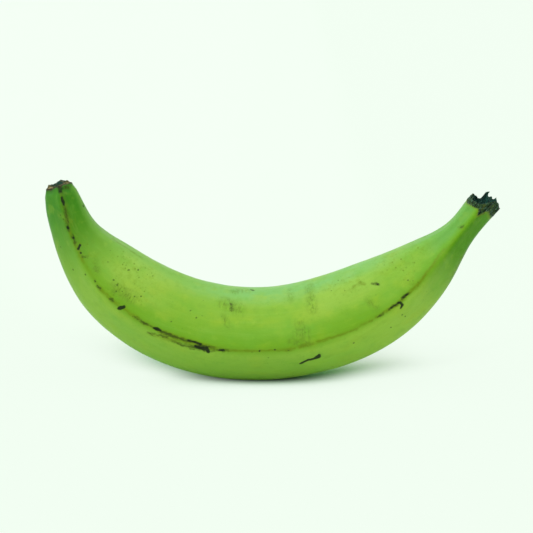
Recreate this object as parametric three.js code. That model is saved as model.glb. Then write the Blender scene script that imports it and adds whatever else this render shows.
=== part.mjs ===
// A single green plantain, as picked, resting on its belly with both ends raised.
// One grown piece: the fruit, its neck and torn stem at +X, and the blunt blossom end with its scar at -X.
// Millimetres, +Z up. The length runs along X, the fruit curves in the XZ plane and rests on z = 0.
// The origin is the middle of the bounding box, on the surface that the fruit rests on.

import * as THREE from "three";

// ---------- driving dimensions ----------
const RINGS = 60; // cross-sections along the fruit
const SPLIT = [9, 6, 3]; // points from the keel to the side ridge, to the inner ridge, to the middle of the inner side
const REST_CUT = 0.5; // how far the belly is flattened where the fruit rests
const REST_EDGE = 0.45; // what lies this close above the surface rests on it too

// The axis of the fruit, from the blossom end (0) to the torn stem (1): position in the XZ plane and half of the height
// of the section, measured across the bend.
const AXIS_X = [-102.89, -100.27, -96.45, -91.01, -84.1, -76.18, -67.42, -57.86, -47.63, -36.91, -25.85, -14.57, -3.2, 8.15, 19.35, 30.33, 41.01, 51.3, 61.08, 70.33, 79.05, 87.08, 94.53, 101.49, 107.95];
const AXIS_Z = [99.33, 88.25, 77.55, 67.57, 58.54, 50.36, 43.11, 36.96, 31.98, 28.17, 25.53, 24.06, 23.77, 24.63, 26.6, 29.6, 33.52, 38.37, 44.17, 50.8, 58.11, 66.16, 74.77, 83.77, 93.14];
const HALF = [7.22, 9.37, 10.98, 14.02, 17.65, 20.18, 21.55, 22.46, 23.07, 23.44, 23.64, 23.71, 23.73, 23.74, 23.72, 23.6, 23.23, 22.43, 20.91, 18.51, 15.24, 11.38, 8.06, 7.28, 8.15];

// How the section changes along the fruit. Angles are in degrees from the keel, on the outside of the bend.
const AT = [0, 0.06, 0.12, 0.2, 0.3, 0.4, 0.5, 0.6, 0.7, 0.8, 0.86, 0.92, 1];
const FRONT_RIDGE = [98, 92, 87, 84, 85, 85, 85.5, 85.5, 87.5, 89.5, 93, 97, 94]; // side ridge towards -Y
const BACK_RIDGE = [84, 84, 82, 79, 77, 76, 76, 77, 78, 80, 84, 88, 90]; // side ridge towards +Y
const INNER_RIDGE = 148; // the two weak ridges on the inside of the bend
const SHARPNESS = [9, 9, 8.5, 8, 7.5, 7.5, 7.5, 7.5, 8, 8.5, 9.5, 10, 9]; // how flat the faces are between ridges
const KEEL_FLAT = [1.06, 1.06, 1.04, 1, 0.965, 0.955, 0.955, 0.96, 0.98, 1.03, 1.06, 1.08, 1.08]; // below 1, the keel is worn flat
const RIDGE_RISE = [0.05, 0.07, 0.07, 0.05, 0.03, 0.022, 0.02, 0.022, 0.028, 0.05, 0.09, 0.1, 0.07]; // ridge height over the faces
const NECK = [0.7, 0.9, 0.8, 0.45, 0.12, 0, 0, 0, 0.05, 0.45, 0.9, 1, 0.9]; // 1 where the section is a fluted neck
const WIDTH = [1, 1, 0.98, 0.955, 0.94, 0.935, 0.935, 0.935, 0.94, 0.96, 0.97, 1, 1]; // width over height
const SWAY_AT = [0, 0.15, 0.35, 0.6, 0.8, 1];
const SWAY = [3, 1.2, 0, 0, -0.8, -3]; // how far the axis strays along Y

// Blossom end: [scale of the last section, distance outwards] for the rim and the scar inside it.
const BLOSSOM = [[0.97, 0.4], [0.88, 1.1], [0.72, 1.6], [0.5, 0.9], [0.24, 1.1]];
// Torn stem: how far the rim stands up at points round it (degrees from the keel), and the hollow inside.
const TORN_AT = [0, 18, 36, 54, 72, 90, 108, 126, 144, 162, 180, 198, 216, 234, 252, 270, 288, 306, 324, 342];
const TORN = [-0.3, 0.6, 1.9, 2.0, 2.4, -0.2, -2.8, -2.8, -2.8, -2.6, -2.3, -2.1, -1.5, -1.7, -2.2, -0.3, 1.4, 2.0, 2.3, 1.0];
const TORN_WALL = 0.82; // inner side of the rim, as a share of its size
const TORN_DEPTH = 4.6; // floor of the hollow, below the nominal end

// ---------- curves ----------
const RAD = Math.PI / 180;

// Natural cubic spline through (xs, ys).
function spline(xs, ys) {
  const n = xs.length;
  const a = new Array(n).fill(0), b = new Array(n).fill(1), c = new Array(n).fill(0), d = new Array(n).fill(0);
  for (let i = 1; i < n - 1; i++) {
    const h0 = xs[i] - xs[i - 1], h1 = xs[i + 1] - xs[i];
    a[i] = h0; b[i] = 2 * (h0 + h1); c[i] = h1;
    d[i] = 6 * ((ys[i + 1] - ys[i]) / h1 - (ys[i] - ys[i - 1]) / h0);
  }
  for (let i = 1; i < n; i++) {
    const m = a[i] / b[i - 1];
    b[i] -= m * c[i - 1];
    d[i] -= m * d[i - 1];
  }
  const M = new Array(n).fill(0);
  M[n - 1] = d[n - 1] / b[n - 1];
  for (let i = n - 2; i >= 0; i--) M[i] = (d[i] - c[i] * M[i + 1]) / b[i];
  return (x) => {
    let i = 0;
    while (i < n - 2 && x >= xs[i + 1]) i++;
    const h = xs[i + 1] - xs[i], A = (xs[i + 1] - x) / h, B = (x - xs[i]) / h;
    return A * ys[i] + B * ys[i + 1] + ((A ** 3 - A) * M[i] + (B ** 3 - B) * M[i + 1]) * h * h / 6;
  };
}

const stations = AXIS_X.map((_, i) => i / (AXIS_X.length - 1));
const axisX = spline(stations, AXIS_X), axisZ = spline(stations, AXIS_Z), half = spline(stations, HALF);
const front = spline(AT, FRONT_RIDGE), back = spline(AT, BACK_RIDGE), sharp = spline(AT, SHARPNESS);
const keel = spline(AT, KEEL_FLAT), rise = spline(AT, RIDGE_RISE), neck = spline(AT, NECK), width = spline(AT, WIDTH);
const sway = spline(SWAY_AT, SWAY);

const wrap = (t) => t - 2 * Math.PI * Math.round(t / (2 * Math.PI));

// Distance from the axis at angle t for station s, before it is brought to size: a rounded polygon with raised ridges.
function reach(s, t) {
  const fr = front(s) * RAD, bk = back(s) * RAD, inner = INNER_RIDGE * RAD, nk = neck(s), p = sharp(s);
  const faces = [
    [0, keel(s)], [0.52 * fr, 1], [-0.52 * bk, 1], [0.5 * (fr + inner), 1], [-0.5 * (bk + inner), 1],
    [Math.PI, 1], [inner, 1 + 0.09 * nk], [-inner, 1 + 0.09 * nk],
  ];
  let q = 0;
  for (const [angle, distance] of faces) q += Math.max(0, Math.cos(t - angle) / distance) ** p;
  let r = q ** (-1 / p);
  const ridges = [[fr, 1, 13], [-bk, 0.9, 13], [0, 0.55 * nk, 14], [inner, 0.75 * nk + 0.08, 15], [-inner, 0.75 * nk + 0.08, 15]];
  for (const [angle, height, wide] of ridges) r *= 1 + rise(s) * height * Math.exp(-((wrap(t - angle) / (wide * RAD)) ** 2));
  return r;
}

// The angles of one section's points, so that a row of points follows each ridge.
function angles(s) {
  const fr = front(s), bk = back(s), found = [];
  const stops = [0, fr, INNER_RIDGE, 180, 360 - INNER_RIDGE, 360 - bk, 360];
  const counts = [...SPLIT, ...[...SPLIT].reverse()];
  counts.forEach((count, k) => {
    for (let i = 0; i < count; i++) found.push((stops[k] + (stops[k + 1] - stops[k]) * i / count) * RAD);
  });
  return found;
}

// One section as points [along the outward normal, towards -Y], with half of its height and width brought to 1.
function section(s) {
  let high = -Infinity, low = Infinity, side = 0;
  for (let i = 0; i < 360; i++) {
    const t = i * RAD, r = reach(s, t);
    high = Math.max(high, r * Math.cos(t));
    low = Math.min(low, r * Math.cos(t));
    side = Math.max(side, Math.abs(r * Math.sin(t)));
  }
  return angles(s).map((t) => {
    const r = reach(s, t);
    return { t, a: (r * Math.cos(t) - (high + low) / 2) / ((high - low) / 2), b: r * Math.sin(t) / side };
  });
}

function frameAt(s) {
  const e = 1e-4, s0 = Math.max(0, s - e), s1 = Math.min(1, s + e);
  const along = new THREE.Vector3(axisX(s1) - axisX(s0), 0, axisZ(s1) - axisZ(s0)).normalize();
  return { centre: new THREE.Vector3(axisX(s), sway(s), axisZ(s)), along, out: new THREE.Vector3(along.z, 0, -along.x) };
}

// A ring of points at station s, scaled, and moved along the axis by a distance that may change round the ring.
function ring(s, scale = 1, shift = () => 0) {
  const { centre, along, out } = frameAt(s), h = half(s) * scale, w = half(s) * width(s) * scale;
  return section(s).map(({ t, a, b }) =>
    centre.clone().addScaledVector(out, a * h).addScaledVector(new THREE.Vector3(0, -1, 0), b * w).addScaledVector(along, shift(t)));
}

// ---------- the fruit ----------
const tornAt = (t) => {
  const deg = ((t / RAD) % 360 + 360) % 360, k = Math.floor(deg / 18) % 20, f = deg / 18 - Math.floor(deg / 18);
  return TORN[k] * (1 - f) + TORN[(k + 1) % 20] * f;
};
const scarLean = (t) => 0.5 * Math.cos(t - 60 * RAD);

const rings = [];
for (const [scale, outwards] of [...BLOSSOM].reverse()) rings.push(ring(0, scale, (t) => -outwards - scarLean(t) * scale));
for (let i = 0; i < RINGS - 1; i++) rings.push(ring(i / (RINGS - 1)));
rings.push(ring(1, 1, (t) => Math.min(0, tornAt(t))));
rings.push(ring(1, 0.985, (t) => 0.15 + tornAt(t) * (tornAt(t) > 0 ? 0.85 : 1)));
rings.push(ring(1, 0.93, (t) => 0.45 + tornAt(t)));
rings.push(ring(1, TORN_WALL, (t) => 0.65 * tornAt(t) - 1.9));
rings.push(ring(1, TORN_WALL * 0.86, () => 0.2 - TORN_DEPTH));
rings.push(ring(1, 0.3, () => -TORN_DEPTH));

const around = rings[0].length;
const points = rings.flat();
const middle = (r) => r.reduce((sum, p) => sum.add(p), new THREE.Vector3()).divideScalar(r.length);
points.push(middle(rings[0]).add(new THREE.Vector3(0, 0, 0.3)), middle(rings[rings.length - 1]));

const faces = [];
for (let i = 0; i < rings.length - 1; i++) {
  for (let j = 0; j < around; j++) {
    const k = (j + 1) % around, a = i * around + j, b = i * around + k, c = (i + 1) * around + k, d = (i + 1) * around + j;
    faces.push(a, d, c, a, c, b);
  }
}
const first = rings.length * around, last = first + 1, end = (rings.length - 1) * around;
for (let j = 0; j < around; j++) {
  const k = (j + 1) % around;
  faces.push(first, j, k, last, end + k, end + j);
}

const box = new THREE.Box3().setFromPoints(points), shift = box.getCenter(new THREE.Vector3()).setZ(box.min.z + REST_CUT);
for (const p of points) {
  p.sub(shift);
  if (p.z < REST_EDGE) p.z = 0;
}

const geometry = new THREE.BufferGeometry();
geometry.setAttribute("position", new THREE.Float32BufferAttribute(points.flatMap((p) => [p.x, p.y, p.z]), 3));
geometry.setIndex(faces);
geometry.computeVertexNormals();

const peel = new THREE.MeshStandardMaterial({ color: 0x80b43e, roughness: 0.45, metalness: 0 });
const plantain = new THREE.Mesh(geometry, peel);
plantain.name = "plantain";

const fruit = new THREE.Group();
fruit.add(plantain);

export default fruit;
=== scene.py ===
# A single green plantain resting on its belly: the visible fruit, its skin material, and a pale stage whose floor has
# painted shadow and painted glow.
# Metres, in the CAD frame: +X towards the torn stem end, +Z up, origin under the middle of the fruit.

import math

import bpy
import numpy as np
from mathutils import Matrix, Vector


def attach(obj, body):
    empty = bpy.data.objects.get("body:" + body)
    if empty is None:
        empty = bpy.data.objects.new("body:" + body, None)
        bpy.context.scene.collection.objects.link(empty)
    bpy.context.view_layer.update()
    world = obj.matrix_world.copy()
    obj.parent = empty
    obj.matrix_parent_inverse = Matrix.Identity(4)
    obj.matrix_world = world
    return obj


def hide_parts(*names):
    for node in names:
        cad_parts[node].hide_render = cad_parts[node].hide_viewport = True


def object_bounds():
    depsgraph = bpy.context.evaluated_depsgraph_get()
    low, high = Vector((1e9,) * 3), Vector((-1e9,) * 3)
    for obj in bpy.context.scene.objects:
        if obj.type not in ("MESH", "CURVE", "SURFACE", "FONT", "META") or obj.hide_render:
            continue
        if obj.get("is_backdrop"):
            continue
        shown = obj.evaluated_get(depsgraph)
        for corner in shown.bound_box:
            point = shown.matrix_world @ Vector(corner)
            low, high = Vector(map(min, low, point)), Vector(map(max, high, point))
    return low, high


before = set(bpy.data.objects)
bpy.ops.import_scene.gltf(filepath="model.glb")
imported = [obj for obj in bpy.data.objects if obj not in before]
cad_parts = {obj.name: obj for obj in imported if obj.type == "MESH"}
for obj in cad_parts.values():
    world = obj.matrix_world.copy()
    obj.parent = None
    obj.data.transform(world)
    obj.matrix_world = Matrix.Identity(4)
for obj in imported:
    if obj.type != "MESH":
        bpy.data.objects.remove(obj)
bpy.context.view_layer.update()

# ---------------------------------------------------------------- the fruit's shape, in millimetres, as in the CAD model
SHIFT = np.array([2.3642, -0.1846, 0.5178])  # from the axis table to the CAD frame
AXIS_X = [-102.89, -100.27, -96.45, -91.01, -84.1, -76.18, -67.42, -57.86, -47.63, -36.91, -25.85, -14.57, -3.2, 8.15, 19.35, 30.33, 41.01, 51.3, 61.08, 70.33, 79.05, 87.08, 94.53, 101.49, 107.95]
AXIS_Z = [99.33, 88.25, 77.55, 67.57, 58.54, 50.36, 43.11, 36.96, 31.98, 28.17, 25.53, 24.06, 23.77, 24.63, 26.6, 29.6, 33.52, 38.37, 44.17, 50.8, 58.11, 66.16, 74.77, 83.77, 93.14]
HALF = [7.22, 9.37, 10.98, 14.02, 17.65, 20.18, 21.55, 22.46, 23.07, 23.44, 23.64, 23.71, 23.73, 23.74, 23.72, 23.6, 23.23, 22.43, 20.91, 18.51, 15.24, 11.38, 8.06, 7.28, 8.15]
LENGTH = 273.1  # along the axis
AT = [0, 0.06, 0.12, 0.2, 0.3, 0.4, 0.5, 0.6, 0.7, 0.8, 0.86, 0.92, 1]
INNER = math.radians(148)
RAD = math.pi / 180


def spline(xs, ys):
    """Natural cubic spline through (xs, ys)."""
    xs, ys = np.asarray(xs, float), np.asarray(ys, float)
    n, h = len(xs), np.diff(xs)
    m = np.zeros((n, n))
    d = np.zeros(n)
    m[0, 0] = m[-1, -1] = 1
    for i in range(1, n - 1):
        m[i, i - 1 : i + 2] = h[i - 1], 2 * (h[i - 1] + h[i]), h[i]
        d[i] = 6 * ((ys[i + 1] - ys[i]) / h[i] - (ys[i] - ys[i - 1]) / h[i - 1])
    curve = np.linalg.solve(m, d)

    def at(x):
        x = np.asarray(x, float)
        i = np.clip(np.searchsorted(xs, x, side="right") - 1, 0, n - 2)
        w = h[i]
        a, b = (xs[i + 1] - x) / w, (x - xs[i]) / w
        return a * ys[i] + b * ys[i + 1] + ((a**3 - a) * curve[i] + (b**3 - b) * curve[i + 1]) * w * w / 6

    return at


stations = np.linspace(0, 1, len(AXIS_X))
axis_x, axis_z, half = spline(stations, AXIS_X), spline(stations, AXIS_Z), spline(stations, HALF)
front = spline(AT, [98, 92, 87, 84, 85, 85, 85.5, 85.5, 87.5, 89.5, 93, 97, 94])
back = spline(AT, [84, 84, 82, 79, 77, 76, 76, 77, 78, 80, 84, 88, 90])
sharp = spline(AT, [9, 9, 8.5, 8, 7.5, 7.5, 7.5, 7.5, 8, 8.5, 9.5, 10, 9])
keel = spline(AT, [1.06, 1.06, 1.04, 1, 0.965, 0.955, 0.955, 0.96, 0.98, 1.03, 1.06, 1.08, 1.08])
rise = spline(AT, [0.05, 0.07, 0.07, 0.05, 0.03, 0.022, 0.02, 0.022, 0.028, 0.05, 0.09, 0.1, 0.07])
neck = spline(AT, [0.7, 0.9, 0.8, 0.45, 0.12, 0, 0, 0, 0.05, 0.45, 0.9, 1, 0.9])
width = spline(AT, [1, 1, 0.98, 0.955, 0.94, 0.935, 0.935, 0.935, 0.94, 0.96, 0.97, 1, 1])
sway = spline([0, 0.15, 0.35, 0.6, 0.8, 1], [3, 1.2, 0, 0, -0.8, -3])


def wrap(t):
    return t - 2 * np.pi * np.round(t / (2 * np.pi))


def reach(s, t):
    """Distance from the axis at angle t, before the section is brought to size: a rounded polygon with raised ridges."""
    fr, bk, nk, p = front(s) * RAD, back(s) * RAD, neck(s), sharp(s)
    one = np.ones_like(nk)
    sides = [
        (0 * fr, keel(s)), (0.52 * fr, one), (-0.52 * bk, one), (0.5 * (fr + INNER), one), (-0.5 * (bk + INNER), one),
        (np.pi + 0 * fr, one), (INNER + 0 * fr, 1 + 0.09 * nk), (-INNER + 0 * fr, 1 + 0.09 * nk),
    ]
    q = sum(np.maximum(0, np.cos(t - angle) / away) ** p for angle, away in sides)
    r = q ** (-1 / p)
    up = rise(s)
    ridges = [(fr, one, 13), (-bk, 0.9 * one, 13), (0 * fr, 0.55 * nk, 14), (INNER + 0 * fr, 0.75 * nk + 0.08, 15), (-INNER + 0 * fr, 0.75 * nk + 0.08, 15)]
    for angle, high, wide in ridges:
        r = r * (1 + up * high * np.exp(-((wrap(t - angle) / (wide * RAD)) ** 2)))
    return r


DENSE = np.linspace(-np.pi, np.pi, 720, endpoint=False)


def section(s, t):
    """Half-height and half-width coordinates of the section, each from -1 to 1. s is a column, t a row."""
    s = np.asarray(s, float).reshape(-1, 1)
    r = reach(s, DENSE[None, :])
    a, b = r * np.cos(DENSE), np.abs(r * np.sin(DENSE))
    top, low, side = a.max(1, keepdims=True), a.min(1, keepdims=True), b.max(1, keepdims=True)
    r = reach(s, t)
    return (r * np.cos(t) - (top + low) / 2) / ((top - low) / 2), r * np.sin(t) / side


def frames(s):
    s = np.asarray(s, float).reshape(-1)
    e = 1e-4
    s0, s1 = np.maximum(s - e, 0), np.minimum(s + e, 1)
    along = np.stack([axis_x(s1) - axis_x(s0), np.zeros_like(s), axis_z(s1) - axis_z(s0)], 1)
    along /= np.linalg.norm(along, axis=1, keepdims=True)
    out = np.stack([along[:, 2], np.zeros_like(s), -along[:, 0]], 1)
    centre = np.stack([axis_x(s), sway(s), axis_z(s)], 1)
    return centre, along, out


SIDE = np.array([0.0, -1.0, 0.0])  # the direction that positive angles turn to, from the keel


def skin(s, t, swell=0.0, scale=1.0, shift=0.0):
    """Points of the skin for stations s (n) and angles t (m, or n by m), moved outwards by swell and along the axis by shift, in mm."""
    s = np.asarray(s, float).reshape(-1)
    t = np.broadcast_to(t, (len(s), np.shape(t)[-1]))
    a, b = section(s, t)
    centre, along, out = frames(s)
    h, w = half(s)[:, None], (half(s) * width(s))[:, None]
    a, b = a * (h * scale + swell), b * (w * scale + swell)
    shift = np.broadcast_to(shift, a.shape)
    p = centre[:, None, :] + a[..., None] * out[:, None, :] + b[..., None] * SIDE + shift[..., None] * along[:, None, :]
    return p - SHIFT


def straight(s, t):
    """The same points with the bend taken out: along the axis, towards the viewer's side, and up from the belly."""
    s = np.asarray(s, float).reshape(-1)
    t = np.broadcast_to(t, (len(s), np.shape(t)[-1]))
    a, b = section(s, t)
    return np.stack([np.broadcast_to(s[:, None] * LENGTH, a.shape), b * (half(s) * width(s))[:, None], -a * half(s)[:, None]], -1)


# ---------------------------------------------------------------- smooth repeatable noise, for the shape
def lattice(seed, size=64):
    return np.random.RandomState(seed).uniform(-1, 1, (size, size, size))


def noise(p, scale, seed):
    """Smooth value noise of the points p, from -1 to 1; scale is the size of its bumps, one number or one for each axis."""
    grid = lattice(seed)
    n = grid.shape[0]
    q = np.asarray(p) / np.asarray(scale, float)
    i = np.floor(q).astype(int)
    f = q - i
    f = f * f * f * (f * (f * 6 - 15) + 10)
    total = 0
    for dx in (0, 1):
        for dy in (0, 1):
            for dz in (0, 1):
                w = (f[..., 0] if dx else 1 - f[..., 0]) * (f[..., 1] if dy else 1 - f[..., 1]) * (f[..., 2] if dz else 1 - f[..., 2])
                total = total + w * grid[(i[..., 0] + dx) % n, (i[..., 1] + dy) % n, (i[..., 2] + dz) % n]
    return total


def step(low, high, x):
    x = np.clip((x - low) / (high - low), 0, 1)
    return x * x * (3 - 2 * x)


# ---------------------------------------------------------------- marks on the skin
# Each is (points along it, the radius in mm at each, softness in mm). A point is (station, degrees from the keel).
SCUFFS = [
    ([(0.2314, 103.0), (0.2425, 95.5)], [0.25, 0.3], 0.35),
    ([(0.5784, 107.5), (0.5806, 91.0)], [2.4, 3.2], 2.2),
    ([(0.5584, 92.0), (0.5862, 87.5)], [1.6, 2], 1.8),
    ([(0.5684, 99.5), (0.5895, 99.0)], [1.6, 1.6], 1.6),
    ([(0.614, 161.0), (0.6107, 124.5)], [2, 2.4], 2.6),
    ([(0.6018, 141.0), (0.6129, 142.0)], [0.3, 0.3], 0.3),
    ([(0.4238, 140.0), (0.4594, 132.5)], [2.6, 2.6], 3.0),
    ([(0.4271, 122.0), (0.4383, 109.0)], [1.2, 1], 2.0),
    ([(0.2069, 95.0), (0.2436, 100.5)], [2.2, 2.8], 2.6),
    ([(0.1491, 100.0), (0.1646, 93.0)], [1.2, 1.2], 2.0),
    ([(0.7186, 108.5), (0.7241, 95.5)], [1, 1.2], 2.2),
    ([(0.5706, 162.0), (0.5695, 143.0)], [1, 1], 2.0),
    ([(0.30, -118), (0.34, -112)], [2.6, 3.2], 3.0),
    ([(0.62, -132), (0.66, -126)], [3.2, 2.4], 3.0),
    ([(0.50, -50), (0.55, -56)], [2.2, 3.0], 3.0),
    ([(0.44, 165), (0.47, 172)], [1.6, 2.0], 2.4),
]
SMEARS = [
    ([(0.0323, 97.0), (0.0478, 95.5), (0.0612, 91.5), (0.0768, 86.0)], [0.35, 0.7, 0.7, 0.5], 0.9),
    ([(0.0879, 90.0), (0.1012, 88.5)], [0.6, 0.7], 0.6),
    ([(0.1279, 89.5), (0.1335, 94.5)], [0.5, 0.4], 0.5),
    ([(0.1746, 83.5)], [0.6], 0.5),
    ([(0.1824, 82.0), (0.1891, 82.5)], [0.5, 0.65], 0.45),
    ([(0.2147, 83.5), (0.2214, 84.5)], [0.5, 0.6], 0.6),
    ([(0.2659, 85.0), (0.2747, 85.0), (0.2803, 84.5)], [0.35, 0.4, 0.55], 0.6),
    ([(0.2814, 84.0), (0.2948, 85.0)], [0.65, 0.6], 0.45),
    ([(0.2981, 85.0), (0.307, 85.0)], [0.4, 0.4], 0.4),
    ([(0.3204, 85.5), (0.337, 85.5), (0.356, 85.5), (0.3704, 86.0)], [0.6, 0.7, 0.7, 0.5], 0.5),
    ([(0.3014, 77.0), (0.3115, 79.0)], [0.5, 0.5], 0.6),
    ([(0.317, 80.0), (0.3348, 83.0)], [0.4, 0.6], 0.6),
    ([(0.3448, 80.5), (0.3626, 80.5)], [0.45, 0.6], 0.4),
    ([(0.356, 79.5), (0.3693, 81.0), (0.3804, 80.5), (0.3949, 81.0)], [0.5, 0.8, 1.1, 0.8], 0.5),
    ([(0.3927, 84.5), (0.4071, 85.0), (0.4182, 85.0)], [0.6, 0.7, 0.4], 0.5),
    ([(0.4027, 80.0), (0.4194, 82.0)], [0.5, 0.4], 0.5),
    ([(0.4227, 83.5), (0.4438, 84.5)], [0.5, 0.6], 0.5),
    ([(0.743, 86.5), (0.7542, 87.0), (0.7642, 86.5)], [0.5, 0.75, 0.6], 0.4),
    ([(0.7731, 87.5), (0.7798, 88.5), (0.7887, 88.5)], [0.6, 0.85, 0.6], 0.45),
    ([(0.7197, 86.5), (0.7308, 86.5)], [0.35, 0.45], 0.5),
    ([(0.7408, 126.0), (0.7475, 123.0)], [0.5, 0.9], 0.5),
    ([(0.4383, 140.0), (0.4416, 132.5)], [0.7, 0.9], 0.9),
    ([(0.9766, 86.5), (0.9822, 82.5)], [1.2, 1.5], 0.8),
    ([(0.5684, 73.5), (0.5729, 73.5)], [0.2, 0.2], 0.4),
    ([(0.9344, 113.5), (0.9399, 106.0)], [0.4, 0.5], 0.9),
    ([(0.002, 122), (0.004, 134)], [1.1, 0.8], 0.9),
    ([(0.30, -78), (0.335, -77), (0.36, -79)], [0.5, 1.3, 0.7], 0.7),
    ([(0.60, -78), (0.66, -79)], [0.6, 1.0], 0.7),
    ([(0.86, -84), (0.90, -88)], [0.6, 0.5], 0.6),
    ([(0.04, -92), (0.08, -86)], [0.4, 0.6], 0.8),
    ([(0.47, -71), (0.50, -72)], [0.5, 0.6], 0.6),
]
BLACKS = [
    ([(0.0167, 96.0), (0.0234, 96.5), (0.0311, 97.5)], [0.4, 0.65, 0.35], 0.35),
    ([(0.0712, 88.0)], [0.6], 0.4),
    ([(0.0912, 89.5)], [0.4], 0.5),
    ([(0.109, 95.5), (0.1123, 89.5)], [0.4, 0.55], 0.35),
    ([(0.1212, 89.0)], [0.4], 0.45),
    ([(0.2358, 81.0), (0.2392, 84.0), (0.2414, 86.5)], [0.45, 0.9, 0.65], 0.35),
    ([(0.3059, 85.0), (0.3115, 85.5), (0.3192, 85.5)], [0.35, 0.6, 0.35], 0.3),
    ([(0.3704, 86.5), (0.3815, 86.5), (0.3949, 86.0)], [0.2, 0.35, 0.3], 0.45),
    ([(0.3849, 82.5), (0.396, 82.5), (0.4049, 82.5), (0.4105, 80.0)], [0.35, 0.7, 1.0, 0.55], 0.42),
    ([(0.4294, 84.5), (0.4349, 84.0)], [0.3, 0.3], 0.6),
    ([(0.4983, 85.5)], [0.4], 0.35),
    ([(0.5261, 86.0)], [0.35], 0.35),
    ([(0.5495, 83.5)], [0.35], 0.35),
    ([(0.7631, 87.0), (0.7675, 85.5), (0.7675, 81.5), (0.762, 79.5)], [0.25, 0.35, 0.6, 0.45], 0.35),
    ([(0.7764, 88.0), (0.7853, 88.0)], [0.2, 0.25], 0.5),
    ([(0.7475, 86.5), (0.7586, 87.0)], [0.12, 0.2], 0.5),
    ([(0.5662, 62.5), (0.5762, 65.5), (0.584, 66.0), (0.5907, 66.0), (0.5962, 67.0), (0.6007, 71.5)], [0.6, 0.65, 0.65, 0.9, 1.25, 0.4], 0.28),
    ([(0.7485, 122.0), (0.7508, 121.0)], [0.15, 0.3], 0.6),
    ([(0.0478, 163.5)], [0.6], 0.35),
    ([(0.002, 99), (0.006, 97)], [1.25, 0.7], 0.7),
    ([(0.26, -70), (0.268, -74)], [0.35, 0.6], 0.35),
    ([(0.404, -81), (0.416, -80), (0.424, -81)], [0.3, 0.65, 0.35], 0.4),
    ([(0.55, -77)], [0.7], 0.35),
    ([(0.64, -64), (0.652, -58), (0.656, -54)], [0.45, 0.8, 0.4], 0.3),
    ([(0.71, -118)], [0.6], 0.35),
    ([(0.18, -130), (0.187, -133)], [0.4, 0.6], 0.35),
    ([(0.48, 176), (0.487, 172)], [0.2, 0.3], 0.6),
    ([(0.33, 8), (0.345, 12)], [0.4, 0.6], 0.35),
    ([(0.78, -10)], [0.6], 0.35),
    ([(0.11, -84), (0.116, -87)], [0.35, 0.45], 0.4),
]
OLIVES = [
    ([(0.2836, 84.0), (0.2981, 85.0), (0.3181, 85.0)], [0.5, 0.4, 0.5], 0.5),
    ([(0.1902, 82.5), (0.2136, 83.5), (0.2314, 84.0)], [0.5, 0.6, 0.5], 0.9),
    ([(0.2458, 85.5), (0.2747, 85.0)], [0.5, 0.8], 0.8),
    ([(0.3181, 85.0), (0.3415, 85.5), (0.3749, 85.5), (0.4027, 85.0), (0.4227, 84.0)], [1, 1.2, 1.2, 1.3, 0.9], 0.6),
    ([(0.3048, 77.0), (0.3304, 81.0), (0.3582, 81.5)], [0.7, 0.7, 0.8], 0.8),
    ([(0.4227, 83.0), (0.4505, 85.0), (0.4816, 85.5), (0.5172, 85.5), (0.5562, 84.0)], [0.6, 0.5, 0.4, 0.45, 0.6], 0.4),
    ([(0.5451, 84.0), (0.5606, 85.0)], [0.8, 0.6], 0.7),
    ([(0.5706, 85.5), (0.5818, 86.0), (0.5951, 86.0)], [0.9, 1, 0.5], 0.6),
    ([(0.6029, 86.5), (0.6263, 86.5), (0.6485, 86.0), (0.6774, 85.5)], [0.7, 0.6, 0.5, 0.4], 0.5),
    ([(0.6841, 87.0), (0.7075, 86.5)], [0.35, 0.35], 0.6),
    ([(0.7164, 87.0), (0.7364, 87.0)], [0.45, 0.5], 0.5),
    ([(0.7364, 87.0), (0.7664, 86.5), (0.792, 88.0)], [0.7, 0.9, 0.8], 0.6),
    ([(0.7898, 88.5), (0.8009, 88.0), (0.8165, 89.0), (0.832, 91.5)], [0.8, 0.65, 0.6, 0.4], 0.5),
    ([(0.8343, 92.0), (0.8643, 97.5), (0.8877, 100.5)], [0.3, 0.3, 0.2], 0.6),
    ([(0.7019, 132.5), (0.7141, 134.5)], [0.6, 0.5], 0.9),
    ([(0.7197, 136.5), (0.7253, 131.0)], [0.9, 0.6], 0.8),
    ([(0.079, 86.5), (0.089, 88.0)], [0.5, 0.5], 0.7),
    ([(0.1012, 88.5), (0.1179, 87.5), (0.1368, 86.0)], [0.7, 0.6, 0.4], 0.8),
    ([(0.9867, 98.0), (0.9855, 91.5)], [1, 0.7], 0.7),
    ([(0.14, -80), (0.22, -78), (0.30, -77)], [0.4, 0.6, 0.8], 0.8),
    ([(0.36, -77), (0.42, -77), (0.50, -76)], [1.0, 0.8, 0.5], 0.6),
    ([(0.54, -76), (0.62, -77), (0.70, -78)], [0.5, 0.8, 0.5], 0.6),
    ([(0.76, -79), (0.84, -82)], [0.6, 0.4], 0.6),
    ([(0.03, -86), (0.10, -82)], [0.6, 0.5], 0.8),
    ([(0.14, 167), (0.18, 166), (0.215, 163)], [0.4, 0.5, 0.3], 0.8),
    ([(0.86, 24), (0.905, 22)], [0.4, 0.4], 0.8),
]
FRECKLES = [
    ([(0.1858, 131.5), (0.2191, 124.0)], [6, 7], 5.0),
    ([(0.2392, 142.5), (0.2581, 139.5)], [3, 3], 4.0),
    ([(0.2158, 100.0), (0.2581, 109.0)], [4.5, 3], 4.0),
    ([(0.1057, 97.0), (0.1557, 106.0)], [3, 4], 4.0),
    ([(0.802, 111.5), (0.8131, 91.0)], [3.5, 3.5], 4.0),
    ([(0.0289, 88.5), (0.0601, 99.0)], [2, 2.6], 3.0),
    ([(0.78, 146.0), (0.85, 136.0)], [5, 5], 4.0),
    ([(0.665, 146.0), (0.71, 138.0)], [3.5, 3.5], 4.0),
    ([(0.24, -128), (0.28, -120)], [5.0, 6.0], 5.0),
    ([(0.70, -40), (0.76, -50)], [5.0, 6.0], 5.0),
    ([(0.52, -110), (0.56, -116)], [5.0, 4.0], 5.0),
]
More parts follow.
